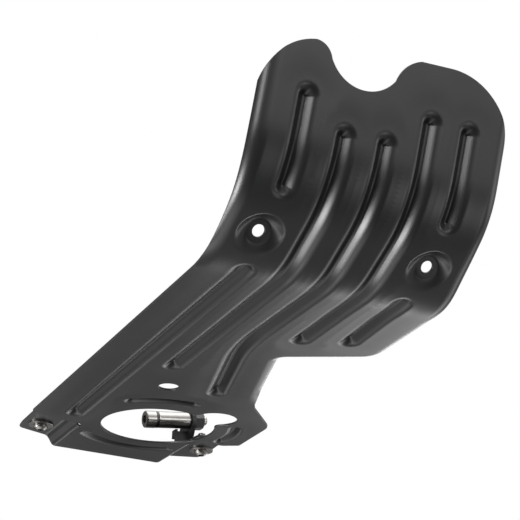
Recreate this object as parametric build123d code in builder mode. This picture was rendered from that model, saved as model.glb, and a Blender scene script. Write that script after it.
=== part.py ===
# Motorcycle skid plate: one pressed and folded sheet, with a pair of clamp
# sets bolted to its rear pads.
#
# Frame: millimetres, +X forward, +Y the rider's left, +Z up.  The origin is
# the centre of the round access opening on the outer (lower) face of the
# bottom panel, so the sheet fills Z = 0 .. SHEET there.
import os
from math import atan2, sin, cos, tan, tanh, pi, radians
from build123d import *

os.makedirs("parts", exist_ok=True)

# ---------------------------------------------------------------- dimensions
SHEET = 1.5                     # sheet thickness

# side profile of the outer face, measured along the sheet (s = X on the flat)
S_FLAT = 258.0                  # end of the flat bottom
R_LOW, A_LOW = 45.7, 27.91      # first bend: radius, angle reached (degrees)
L_MID = 20.25                   # straight between the two bends
R_UP, A_UP = 64.0, 68.75        # second bend: radius, angle reached (degrees)
S_TOP = 406.0                   # blank length before the top is trimmed

# rolled long edges of the front
Y_ROLL_L = -81.0                # start of the left roll
W_FLAT_L = 7.3                  # flat strip outside that line on the bottom
Y_ROLL_R0, Y_ROLL_R1 = 50.5, 45.5
R_ROLL = 10.0                   # outer radius of the rolled edges
A_LIP, A_ROLL = 40.0, 67.0      # roll angle of the lower right lip, and at the top

# openings and holes
R_ACCESS = 40.0                 # round access opening
X_LOBE, Y_LOBE, R_LOBE = 35.8, 28.7, 14.7   # its keyhole lobe
X_DRAIN, Y_DRAIN, D_DRAIN = 82.9, -27.0, 13.0

# front fixing dishes, on the straight between the two bends
DISHES = ((290.3, -66.8), (293.8, 31.0))    # length along the profile, Y
R_DISH, R_SEAT, H_DISH = 12.5, 6.4, 3.2     # rim, floor, depth at the hole
A_SEAT = 20.0                   # the floor leans forward from the sheet by this angle
D_DISH_HOLE = 6.6

# stiffening beads, pressed inward
BEAD_W, BEAD_H, BEAD_A = 15.0, 4.5, 40.0
RING_R, RING_W, RING_H, RING_A = 57.0, 12.0, 3.6, 45.0
SKIN = 0.06                     # how far the press tools start off the skin

# rear pads
Y_MID = -4.8                    # middle of the rear end
X_REAR = {1: -86.7, -1: -84.3}  # rear edge at each pad, side +1 is the rider's left
U_FOLD = {1: 39.5, -1: 43.2}    # fold line of each pad, from the middle
PAD_Z = 6.5                     # height of the outer face of a pad
X_SCREW, U_SCREW = -55.7, 63.85
D_PAD_HOLE = 6.6

# clamp sets
TILT = 7.5                      # the clamp bolt rises outward by this angle
X_BOLT = -55.7
U_EAR, Z_EAR = {1: 55.1, -1: 47.5}, {1: 28.0, -1: 22.5}    # outer face of the ear, on the bolt axis
PLATE = 3.0                     # bracket plate
SLEEVE_D, SLEEVE_L = 12.6, {1: 26.5, -1: 13.5}
LOCK_D, LOCK_H = 12.7, 2.0


# ---------------------------------------------------------------- helpers
def station(s):
    """Point (x, z) and slope of the outer face at the length s."""
    a1, a2 = radians(A_LOW), radians(A_UP)
    if s <= S_FLAT:
        return s, 0.0, 0.0
    s1 = S_FLAT + R_LOW * a1
    if s <= s1:
        a = (s - S_FLAT) / R_LOW
        return S_FLAT + R_LOW * sin(a), R_LOW * (1 - cos(a)), a
    x1, z1 = S_FLAT + R_LOW * sin(a1), R_LOW * (1 - cos(a1))
    if s <= s1 + L_MID:
        d = s - s1
        return x1 + d * cos(a1), z1 + d * sin(a1), a1
    x2, z2 = x1 + L_MID * cos(a1), z1 + L_MID * sin(a1)
    s2 = s1 + L_MID
    s3 = s2 + R_UP * (a2 - a1)
    if s <= s3:
        a = a1 + (s - s2) / R_UP
        return (x2 + R_UP * (sin(a) - sin(a1)),
                z2 - R_UP * (cos(a) - cos(a1)), a)
    x3 = x2 + R_UP * (sin(a2) - sin(a1))
    z3 = z2 - R_UP * (cos(a2) - cos(a1))
    return x3 + (s - s3) * cos(a2), z3 + (s - s3) * sin(a2), a2


S_BEND1 = S_FLAT + R_LOW * radians(A_LOW)
S_BEND2 = S_BEND1 + L_MID
S_UP = S_BEND2 + R_UP * radians(A_UP - A_LOW)


def cross_plane(s):
    """Plane across the sheet at s: local x is +Y, local y points inward."""
    x, z, a = station(s)
    return Plane(origin=(x, 0, z), x_dir=(0, 1, 0), z_dir=(cos(a), 0, sin(a)))


def roll_points(y0, side, width, ang):
    """Outer end, outer middle, inner end, inner middle of a rolled edge."""
    if ang < 1e-6:
        return ((y0 + side * width, 0), (y0 + side * width / 2, 0),
                (y0 + side * width, SHEET), (y0 + side * width / 2, SHEET))
    r = width / ang
    q = r - SHEET
    return ((y0 + side * r * sin(ang), r - r * cos(ang)),
            (y0 + side * r * sin(ang / 2), r - r * cos(ang / 2)),
            (y0 + side * q * sin(ang), r - q * cos(ang)),
            (y0 + side * q * sin(ang / 2), r - q * cos(ang / 2)))


def roll_section(s, side, root, y0, width, ang):
    """Cross-section of a rolled edge, with a tongue inside the flat sheet.

    It stands proud of the sheet by a hair, so that the two join cleanly.
    """
    e = 0.08
    low = lambda q: (q[0], q[1] - e)
    if ang < 1e-6:
        ang = 1e-3
    o, om, i, im = (low(q) for q in roll_points(y0, side, width, ang))
    with BuildSketch(cross_plane(s)) as sk:
        with BuildLine():
            ThreePointArc(o, om, low((y0, 0)))
            Polyline(low((y0, 0)), low((root, 0)), (root - side * 2.0, 0.3), (root - side * 2.0, 1.1),
                     low((root, SHEET)), low((y0, SHEET)))
            ThreePointArc(low((y0, SHEET)), im, i)
            Line(i, o)
        make_face()
    return sk.sketch


def ease(s, s0, s1):
    """Smooth step from 0 at s0 to 1 at s1."""
    u = min(1.0, max(0.0, (s - s0) / (s1 - s0)))
    return u * u * (3 - 2 * u)


def curl(s):
    """How far the edges have rolled up, 0 at the flat to 1 at the top."""
    return tanh((s - S_FLAT) / 37.0) / tanh((S_UP - S_FLAT) / 37.0)


def left_roll(s):
    width = W_FLAT_L + 4.5 * ease(s, 280, S_UP)
    start = Y_ROLL_L - 0.5 * ease(s, 262, 300)
    return roll_section(s, -1, Y_ROLL_L + 0.5, start, width, radians(A_ROLL * curl(s)))


def right_roll(s):
    ang = radians(A_LIP + (A_ROLL - A_LIP) * curl(s))
    start = Y_ROLL_R0 + (Y_ROLL_R1 - Y_ROLL_R0) * ease(s, 263, 315)
    return roll_section(s, 1, Y_ROLL_R1 - 0.5, start, R_ROLL * ang, ang)


def rounded(corners, closed=False):
    """Lines and arcs of a path with rounded corners (x, y, radius)."""
    n = len(corners)
    segs, last, first = [], None, None
    order = range(n) if closed else range(1, n - 1)
    if not closed:
        last = corners[0][:2]
    for i in order:
        x, y, r = corners[i]
        px, py, _ = corners[i - 1]
        qx, qy, _ = corners[(i + 1) % n]
        la, lb = ((px - x) ** 2 + (py - y) ** 2) ** 0.5, ((qx - x) ** 2 + (qy - y) ** 2) ** 0.5
        ax, ay = (px - x) / la, (py - y) / la
        bx, by = (qx - x) / lb, (qy - y) / lb
        if r < 1e-6:
            p0 = p1 = (x, y)
            mid = None
        else:
            c = ax * bx + ay * by
            half = ((1 - c) / (1 + c)) ** 0.5      # tan of half the corner angle
            d = r / half
            p0, p1 = (x + ax * d, y + ay * d), (x + bx * d, y + by * d)
            mx, my = ax + bx, ay + by
            lm = (mx * mx + my * my) ** 0.5
            h = (d * d + r * r) ** 0.5 - r
            mid = (x + mx / lm * h, y + my / lm * h)
        if last is not None:
            segs.append((last, p0))
        else:
            first = p0
        if mid is not None:
            segs.append((p0, mid, p1))
        last = p1
    segs.append((last, first if closed else corners[-1][:2]))
    return [g for g in segs
            if (g[0][0] - g[-1][0]) ** 2 + (g[0][1] - g[-1][1]) ** 2 > 1e-8]


def bead_points(width, depth, wall, inner):
    """Half of a bead's press line, from its edge to its bottom."""
    w = radians(wall)
    total = (width / 2 * tan(w) - depth) / (sin(w) * tan(w) - (1 - cos(w)))
    r_lip, r_low = total / 2, total / 2
    base, foot, low = -SKIN, r_lip, r_low
    if inner:
        base, foot, low = SHEET - SKIN, r_lip - SHEET, r_low + SHEET
        depth = depth + SHEET
    cy = base + foot
    edge = (width / 2, base)
    m1 = (width / 2 - foot * sin(w / 2), cy - foot * cos(w / 2))
    p1 = (width / 2 - foot * sin(w), cy - foot * cos(w))
    top = depth - SKIN
    c2 = top - low
    p2 = (low * sin(w), c2 + low * cos(w))
    m2 = (low * sin(w / 2), c2 + low * cos(w / 2))
    return edge, m1, p1, p2, m2, (0, top), base


def bead_face(plane, width, depth, wall, inner):
    e, m1, p1, p2, m2, b, base = bead_points(width, depth, wall, inner)
    flip = lambda p: (-p[0], p[1])
    with BuildSketch(plane) as sk:
        with BuildLine():
            ThreePointArc(e, m1, p1)
            Line(p1, p2)
            ThreePointArc(p2, b, flip(p2))
            Line(flip(p2), flip(p1))
            ThreePointArc(flip(p1), flip(m1), flip(e))
            Line(flip(e), e)
        make_face()
    return sk.sketch


def bead_half_face(plane, width, depth, wall, inner):
    e, m1, p1, p2, m2, b, base = bead_points(width, depth, wall, inner)
    with BuildSketch(plane) as sk:
        with BuildLine():
            ThreePointArc(e, m1, p1)
            Line(p1, p2)
            ThreePointArc(p2, m2, b)
            Line(b, (0, base))
            Line((0, base), e)
        make_face()
    return sk.sketch


def cap(at, lat, inward, width, depth, wall, inner):
    """Rounded end of a bead, turned about the inward normal.

    The raised side is half a turn against the end of the run; the pressed
    side is a full turn, a hair larger than the run it overlaps.
    """
    lat, inward = Vector(*lat), Vector(*inward)
    pl = Plane(origin=at, x_dir=lat, z_dir=lat.cross(inward))
    grow = 0.0 if inner else 0.04
    with BuildPart() as bp:
        revolve(profiles=bead_half_face(pl, width + 2 * grow, depth + grow, wall, inner),
                axis=Axis(at, inward), revolution_arc=180 if inner else 360)
    return bp.part


def rib_frame(s, y0, slant):
    """Point, direction, side direction and inward normal on a slanted rib."""
    x, z, a = station(s)
    b = radians(slant)
    at = (S_FLAT + (x - S_FLAT) * cos(b), y0 + (x - S_FLAT) * sin(b), z)
    t = (cos(a) * cos(b), cos(a) * sin(b), sin(a))
    n = (-sin(a) * cos(b), -sin(a) * sin(b), cos(a))
    return at, t, (-sin(b), cos(b), 0), n


def rib(s0, s1, y0, slant, inner, ends=(True, True)):
    """Bead along the side profile from s0 to s1; y0 is its line at S_FLAT."""
    stops = [s0] + [q for q in (S_FLAT, S_BEND1, S_BEND2, S_UP) if s0 < q < s1] + [s1]

    def pt(s):
        return rib_frame(s, y0, slant)[0]

    with BuildPart() as bp:
        with BuildLine() as ln:
            for q0, q1 in zip(stops, stops[1:]):
                if abs(station(q0)[2] - station(q1)[2]) < 1e-9:
                    Line(pt(q0), pt(q1))
                else:
                    ThreePointArc(pt(q0), pt((q0 + q1) / 2), pt(q1))
        at, t, lat, n = rib_frame(s0, y0, slant)
        sweep(sections=bead_face(Plane(origin=at, x_dir=lat, z_dir=t),
                                 BEAD_W, BEAD_H, BEAD_A, inner), path=ln.line)
    shapes = [bp.part]
    if ends[0]:
        shapes.append(cap(at, lat, n, BEAD_W, BEAD_H, BEAD_A, inner))
    if ends[1]:
        at, t, lat, n = rib_frame(s1, y0, slant)
        shapes.append(cap(at, tuple(-c for c in lat), n, BEAD_W, BEAD_H, BEAD_A, inner))
    return shapes


def veer(xj, yj, slant, radius, turn, length, inner):
    """Lower end of a bead that swings aside on the flat, joined at (xj, yj)."""
    b, g = radians(slant), radians(turn)

    def arc(th):
        dx, dy = -radius * sin(th), radius * (1 - cos(th))
        return (xj + dx * cos(b) - dy * sin(b), yj + dx * sin(b) + dy * cos(b), 0)

    h = pi + b - g                              # heading rearward after the turn
    p = arc(g)
    q = (p[0] + length * cos(h), p[1] + length * sin(h), 0)
    t = (-cos(h), -sin(h), 0)
    lat = (sin(h), -cos(h), 0)
    with BuildPart() as bp:
        with BuildLine() as ln:
            Line(q, p)
            ThreePointArc(p, arc(g / 2), (xj, yj, 0))
        sweep(sections=bead_face(Plane(origin=q, x_dir=lat, z_dir=t),
                                 BEAD_W, BEAD_H, BEAD_A, inner), path=ln.line)
    return [bp.part, cap(q, lat, (0, 0, 1), BEAD_W, BEAD_H, BEAD_A, inner)]


def ring(radius, a0, a1, inner):
    """Bead along a part of a circle about the opening, a0 to a1 degrees."""
    dims = (RING_W, RING_H, RING_A, inner)

    def spoke(a):
        a = radians(a)
        return (radius * cos(a), radius * sin(a), 0), (cos(a), sin(a), 0), (sin(a), -cos(a), 0)

    at0, out0, z0 = spoke(a0)
    at1, out1, z1 = spoke(a1)
    with BuildPart() as bp:
        revolve(profiles=bead_face(Plane(origin=at0, x_dir=out0, z_dir=z0), *dims),
                axis=Axis.Z, revolution_arc=a1 - a0)
    return [bp.part, cap(at0, tuple(-c for c in out0), (0, 0, 1), *dims),
            cap(at1, out1, (0, 0, 1), *dims)]


# ---------------------------------------------------------------- skid plate
# line where the lip along the lower right edge begins, front to rear
LIP = [(S_FLAT, Y_ROLL_R0, 0), (250.0, Y_ROLL_R0, 60), (195.8, 54.2, 8),
       (165.7, 3.1, 13), (76.7, 31.1, 0)]
u_slit, u_wing = 45.6, 64.8
OUTLINE = LIP + [(78.6, 37.2, 0), (70.5, 41.6, 10), (39.1, 68.3, 17.5), (-12.3, 70.5, 3),
                 (-19.6, Y_MID + u_wing, 6), (-20.8, Y_MID + U_FOLD[1], 9.5),
                 (X_REAR[1], Y_MID + U_FOLD[1], 0), (X_REAR[-1], Y_MID - U_FOLD[-1], 0),
                 (-20.8, Y_MID - U_FOLD[-1], 7), (-19.6, Y_MID - u_wing, 6),
                 (-10.6, Y_ROLL_L - W_FLAT_L, 2), (S_FLAT, Y_ROLL_L - W_FLAT_L, 0)]

with BuildPart() as bottom:
    with BuildSketch(Plane.XY):
        with BuildLine():
            for g in rounded(OUTLINE, closed=True):
                if len(g) == 2:
                    Line(*g)
                else:
                    ThreePointArc(*g)
        make_face()
    extrude(amount=SHEET)

with BuildPart() as lip:
    with BuildLine() as lip_line:
        for g in rounded(LIP):
            if len(g) == 2:
                Line(*g)
            else:
                ThreePointArc(*g)
    lo, lom, li, lim = roll_points(0, 1, R_ROLL * radians(A_LIP), radians(A_LIP))
    with BuildSketch(Plane(origin=(S_FLAT, Y_ROLL_R0, 0), x_dir=(0, 1, 0), z_dir=(1, 0, 0))) as lip_face:
        with BuildLine():
            ThreePointArc((0, 0), lom, lo)
            Line(lo, li)
            ThreePointArc(li, lim, (0, SHEET))
            Line((0, SHEET), (0, 0))
        make_face()
    sweep(sections=lip_face.sketch, path=lip_line.line)
    # the lip runs out to the flat wing at its rear end
    with BuildSketch(Plane.XZ.offset(-60)):
        with BuildLine():
            Polyline((60, SHEET - 0.02), (76, SHEET - 0.02), (100, 4.2), (100, 9), (60, 9), close=True)
        make_face()
    extrude(amount=60, mode=Mode.SUBTRACT)

# front: the side profile pushed across, between the two rolled edges
with BuildPart() as front:
    off = lambda s, d: (station(s)[0] - d * sin(station(s)[2]), station(s)[1] + d * cos(station(s)[2]))
    with BuildSketch(Plane.XZ.offset(-(Y_ROLL_R1 - 0.5))):
        with BuildLine():
            for d in (0, SHEET):
                Line(off(S_FLAT, d), off(S_FLAT - 1, d))
                ThreePointArc(off(S_FLAT, d), off((S_FLAT + S_BEND1) / 2, d), off(S_BEND1, d))
                Line(off(S_BEND1, d), off(S_BEND2, d))
                ThreePointArc(off(S_BEND2, d), off((S_BEND2 + S_UP) / 2, d), off(S_UP, d))
                Line(off(S_UP, d), off(S_TOP, d))
            Line(off(S_FLAT - 1, 0), off(S_FLAT - 1, SHEET))
            Line(off(S_TOP, 0), off(S_TOP, SHEET))
        make_face()
    extrude(amount=Y_ROLL_R1 - 0.5 - (Y_ROLL_L + 0.5))

STATIONS = [S_FLAT + (S_UP - S_FLAT) * i / 22 for i in range(23)]
UPWARD = (cos(radians(A_UP)), 0, sin(radians(A_UP)))
with BuildPart() as edge_left:
    loft(sections=[left_roll(s) for s in STATIONS], ruled=True)
    extrude(to_extrude=left_roll(S_UP), amount=S_TOP - S_UP, dir=UPWARD)
with BuildPart() as edge_right:
    loft(sections=[right_roll(s) for s in STATIONS], ruled=True)
    extrude(to_extrude=right_roll(S_UP), amount=S_TOP - S_UP, dir=UPWARD)

# waste around the top outline: two rounded horns with a notch between them
x_u, z_u, a_u = station(S_UP)
TOP_PLANE = Plane(origin=(x_u, 0, z_u), x_dir=(0, 1, 0), z_dir=(cos(a_u - pi / 2), 0, sin(a_u - pi / 2)))
with BuildPart() as top_waste:
    with BuildSketch(TOP_PLANE):
        with BuildLine():
            v = lambda y, s: (y, s - S_UP)
            Polyline(v(-110, 362), v(-90.9, 362))
            ThreePointArc(v(-90.9, 362), v(-82.2, 384.2), v(-66, 393.0))
            ThreePointArc(v(-66, 393.0), v(-59.6, 391.0), v(-56.0, 386.0))
            ThreePointArc(v(-56.0, 386.0), v(-38.2, 375.5), v(-18.8, 385.3))
            ThreePointArc(v(-18.8, 385.3), v(-13.9, 394.2), v(-6.3, 398.9))
            Line(v(-6.3, 398.9), v(12, 400.4))
            ThreePointArc(v(12, 400.4), v(43.7, 388.2), v(54.95, 360))
            Polyline(v(54.95, 360), v(75, 360), v(75, 430), v(-110, 430), v(-110, 362))
        make_face()
    extrude(amount=30, both=True)

# rear pads: the sheet steps up beside the middle strip
TAB = {1: [(X_REAR[1], U_FOLD[1], 0), (-85.8, 47.5, 15), (-77.3, 71.6, 6), (-64.0, 72.4, 14),
           (-37.0, 70.4, 5), (-26.0, 62.0, 5), (-25.6, 48.5, 5), (-30.3, U_FOLD[1], 0)],
       -1: [(X_REAR[-1], U_FOLD[-1], 0), (-83.6, 46.5, 8), (-72.3, 75.4, 6), (-60.0, 76.6, 12),
            (-31.5, 76.8, 5), (-24.8, 68.0, 5), (-24.2, 51.0, 5), (-27.8, U_FOLD[-1], 0)]}
STEP = {1: (41.8, 47.1), -1: (45.6, 50.9)}    # foot and head of the step up to a pad
R_STEP = (4.2, 5.0)


def pad(side):
    with BuildPart() as bp:
        y = lambda u: Y_MID + side * u
        u0, (u1, u2) = U_FOLD[side], STEP[side]
        back = SHEET * tan(atan2(PAD_Z, u2 - u1) / 2)
        with BuildSketch(Plane(origin=(min(X_REAR.values()) - 5, 0, 0), x_dir=(0, 1, 0), z_dir=(1, 0, 0))):
            with BuildLine():
                low = rounded([(u0, 0, 0), (u1, 0, R_STEP[0]), (u2, PAD_Z, R_STEP[1]), (85, PAD_Z, 0)])
                high = rounded([(u0, SHEET, 0), (u1 - back, SHEET, R_STEP[0] - SHEET),
                                (u2 - back, PAD_Z + SHEET, R_STEP[1] + SHEET), (85, PAD_Z + SHEET, 0)])
                for g in low + high:
                    g = [(y(p[0]), p[1]) for p in g]
                    if len(g) == 2:
                        Line(*g)
                    else:
                        ThreePointArc(*g)
                Line((y(u0), 0), (y(u0), SHEET))
                Line((y(85), PAD_Z), (y(85), PAD_Z + SHEET))
            make_face()
        extrude(amount=80)
        with BuildSketch(Plane.XY):
            with BuildLine():
                for g in rounded(TAB[side], closed=True):
                    g = [(p[0], y(p[1])) for p in g]
                    if len(g) == 2:
                        Line(*g)
                    else:
                        ThreePointArc(*g)
            make_face()
        extrude(amount=20, mode=Mode.INTERSECT)
    return bp.part


pads = [pad(1), pad(-1)]


def swung(xj, s1, y0, radius, turn, x_end, inner):
    """Bead straight over the bends, then swung aside by turn degrees on the flat."""
    g = radians(turn)
    length = (xj - radius * sin(g) - x_end) / cos(g)
    return (rib(xj, s1, y0, 0.0, inner, ends=(False, True))
            + veer(xj, y0, 0.0, radius, turn, length, inner))


def beads(inner):
    shapes = []
    shapes += rib(318.7, 364.8, -65.6, 0.0, inner)                  # upper left
    shapes += swung(250.0, 350.3, -41.6, 400.0, 0.9, 119.2, inner)  # left of the middle
    shapes += swung(192.0, 352.3, -18.2, 170.0, 16.0, 86.7, inner)  # swings to the opening
    shapes += swung(250.0, 369.3, 5.5, 400.0, 2.2, 196.2, inner)    # right of the middle
    shapes += rib(322.2, 369.8, 28.5, 0.0, inner)                   # upper right
    shapes += swung(252.0, 266.3, 29.8, 150.0, 5.5, 207.2, inner)   # lower right
    shapes += swung(240.0, 263.8, -63.3, 400.0, 0.55, -1.3, inner)   # long, lower left
    shapes += ring(RING_R, -40.4, 2.4, inner)                       # in front of the opening
    shapes += ring(RING_R, 151.0, 222.0, inner)                     # behind the opening
    shapes += ring(RING_R - 2.0, 66.0, 101.0, inner)                 # beside the opening
    return shapes


def keyhole(f):
    """Arcs of the access opening: circle, lobe and two rounded cusps of radius f."""
    m = (X_LOBE ** 2 + Y_LOBE ** 2) ** 0.5
    ex, ey = X_LOBE / m, Y_LOBE / m
    a = ((R_ACCESS + f) ** 2 - (R_LOBE + f) ** 2 + m * m) / (2 * m)
    h = ((R_ACCESS + f) ** 2 - a * a) ** 0.5
    ends, arcs = [], []
    for k in (1, -1):
        cx, cy = a * ex - k * h * ey, a * ey + k * h * ex
        q = R_ACCESS / (R_ACCESS + f)
        p0 = (cx * q, cy * q)
        q = R_LOBE / (R_LOBE + f)
        p1 = (X_LOBE + (cx - X_LOBE) * q, Y_LOBE + (cy - Y_LOBE) * q)
        dx, dy = (p0[0] + p1[0]) / 2 - cx, (p0[1] + p1[1]) / 2 - cy
        dd = (dx * dx + dy * dy) ** 0.5
        arcs.append((p0, (cx + f * dx / dd, cy + f * dy / dd), p1))
        ends.append((p0, p1))
    (a0, b0), (a1, b1) = ends
    arcs.append((a0, (-R_ACCESS * ex, -R_ACCESS * ey), a1))
    arcs.append((b0, (X_LOBE + R_LOBE * ex, Y_LOBE + R_LOBE * ey), b1))
    return arcs


def dish_frame(s, y):
    """Middle of a dish's floor on the outer face, and the floor's inward normal."""
    x, z, a = station(s)
    lean = a + radians(A_SEAT)
    return (Vector(x, y, z) + Vector(-sin(a), 0, cos(a)) * H_DISH, Vector(-sin(lean), 0, cos(lean)))


def dish(s, y, inner):
    """Round dish for a front fixing, pressed inward to a leaning flat seat."""
    x, z, a = station(s)
    n = Vector(-sin(a), 0, cos(a))
    seat, m = dish_frame(s, y)
    base, r_rim, r_seat = -SKIN, R_DISH, R_SEAT
    if inner:
        base, r_rim, r_seat, seat = SHEET - SKIN, R_DISH + 0.5, R_SEAT + 0.6, seat + m * SHEET
    with BuildSketch(Plane(origin=Vector(x, y, z) + n * base, x_dir=(0, 1, 0), z_dir=n)) as rim:
        Circle(r_rim)
    with BuildSketch(Plane(origin=seat, x_dir=(0, 1, 0), z_dir=m)) as floor:
        Circle(r_seat)
    with BuildPart() as bp:
        loft(sections=[rim.sketch, floor.sketch], ruled=True)
    return bp.part


ridges = beads(True) + [dish(s, y, True) for s, y in DISHES]
grooves = beads(False) + [dish(s, y, False) for s, y in DISHES]

with BuildPart() as skid_plate:
    add(bottom.part)
    add(lip.part)
    add(front.part)
    add(edge_left.part)
    add(edge_right.part)
    add(top_waste.part, mode=Mode.SUBTRACT)
    for p in pads:
        add(p)
    for p in ridges:
        add(p)
    for p in grooves:
        add(p, mode=Mode.SUBTRACT)
    # access opening with its keyhole lobe
    with BuildSketch(Plane.XY.offset(-2)):
        with BuildLine():
            for g in keyhole(5.0):
                ThreePointArc(*g)
        make_face()
    extrude(amount=12, mode=Mode.SUBTRACT)
    # drain hole, pad holes, front fixing holes
    with BuildSketch(Plane.XY.offset(-2)):
        with Locations((X_DRAIN, Y_DRAIN)):
            Circle(D_DRAIN / 2)
        with Locations((X_SCREW, Y_MID + U_SCREW), (X_SCREW, Y_MID - U_SCREW)):
            Circle(D_PAD_HOLE / 2)
    extrude(amount=14, mode=Mode.SUBTRACT)
    for s, y in DISHES:
        seat, m = dish_frame(s, y)
        with BuildSketch(Plane(origin=seat - m * 2, x_dir=(0, 1, 0), z_dir=m)):
            Circle(D_DISH_HOLE / 2)
        extrude(amount=6, mode=Mode.SUBTRACT)

skid_plate.part.label = "skid_plate"
export_step(skid_plate.part, "parts/skid_plate.step")


# ---------------------------------------------------------------- clamp sets
# One set on each pad, side +1 and -1 about the middle of the rear end.
Z_PAD_TOP = PAD_Z + SHEET
M6_WASHER_D, M6_WASHER_H = 18.0, 1.6
M6_HEAD_D, M6_HEAD_H, M6_LENGTH = 10.5, 3.3, 14.0
M6_NUT_AF, M6_NUT_H = 10.0, 5.0
M8_HEAD_D, M8_HEAD_H, M8_LENGTH = 13.0, 8.0, {1: 43.0, -1: 30.0}
M8_NUT_AF, M8_NUT_H = 13.0, 8.0


def screw_plane(side, z):
    """Plane on a tab screw's axis, local z up."""
    return Plane(origin=(X_SCREW, Y_MID + side * U_SCREW, z), x_dir=(1, 0, 0), z_dir=(0, 0, 1))


def bolt_plane(side, d):
    """Plane on a clamp bolt's axis, local z outward; d from the ear's outer face."""
    t = radians(TILT)
    ax = (0, side * cos(t), sin(t))
    return Plane(origin=(X_BOLT, Y_MID + side * (U_EAR[side] + d * cos(t)), Z_EAR[side] + d * sin(t)),
                 x_dir=(1, 0, 0), z_dir=ax)


def turned(plane, half_section):
    """Solid of revolution about the plane's own z axis from (radius, height)."""
    mer = Plane(origin=plane.origin, x_dir=plane.x_dir, z_dir=-plane.y_dir)
    with BuildPart() as bp:
        with BuildSketch(mer) as sk:
            with BuildLine():
                Polyline(*half_section, close=True)
            make_face()
        revolve(profiles=sk.sketch, axis=Axis(plane.origin, plane.z_dir), revolution_arc=360)
    return bp.part


def hex_nut(plane, af, height, bore, turn=0.0):
    """Hexagon nut with turned corners, standing on the plane."""
    rc = af / 3 ** 0.5
    with BuildPart() as bp:
        with BuildSketch(plane):
            RegularPolygon(rc, 6, rotation=turn)
            Circle(bore / 2, mode=Mode.SUBTRACT)
        extrude(amount=height)
        c = (rc - af / 2) * 0.62
        add(turned(plane, [(0, 0), (af / 2 - 0.1, 0), (rc + 0.02, c), (rc + 0.02, height - c),
                           (af / 2 - 0.1, height), (0, height)]), mode=Mode.INTERSECT)
    return bp.part


def tab_screw(side):
    """Button-head socket screw, head below the pad."""
    seat = PAD_Z - M6_WASHER_H
    pl = screw_plane(side, seat)
    r, h = M6_HEAD_D / 2, M6_HEAD_H
    dome = [(r, 0), (r, -0.7), (r * 0.955, -1.35), (r * 0.87, -1.98), (r * 0.75, -2.55),
            (r * 0.62, -2.98), (r * 0.52, -h), (0, -h)]
    with BuildPart() as bp:
        add(turned(pl, dome + [(0, M6_LENGTH), (2.45, M6_LENGTH), (3.0, M6_LENGTH - 0.7), (3.0, 0)]))
        with BuildSketch(pl.offset(-h)):
            RegularPolygon(4.0 / 3 ** 0.5, 6)
        extrude(amount=2.1, mode=Mode.SUBTRACT)
    return bp.part


def tab_washer(side):
    pl = screw_plane(side, PAD_Z - M6_WASHER_H)
    with BuildPart() as bp:
        with BuildSketch(pl):
            Circle(M6_WASHER_D / 2)
            Circle(3.2, mode=Mode.SUBTRACT)
        extrude(amount=M6_WASHER_H)
        chamfer(bp.edges().filter_by(GeomType.CIRCLE).sort_by(Axis.Z)[0:2].sort_by(SortBy.RADIUS)[-1], 0.25)
    return bp.part


def tab_nut(side):
    return hex_nut(screw_plane(side, Z_PAD_TOP + PLATE), M6_NUT_AF, M6_NUT_H, 6.08)


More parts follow.
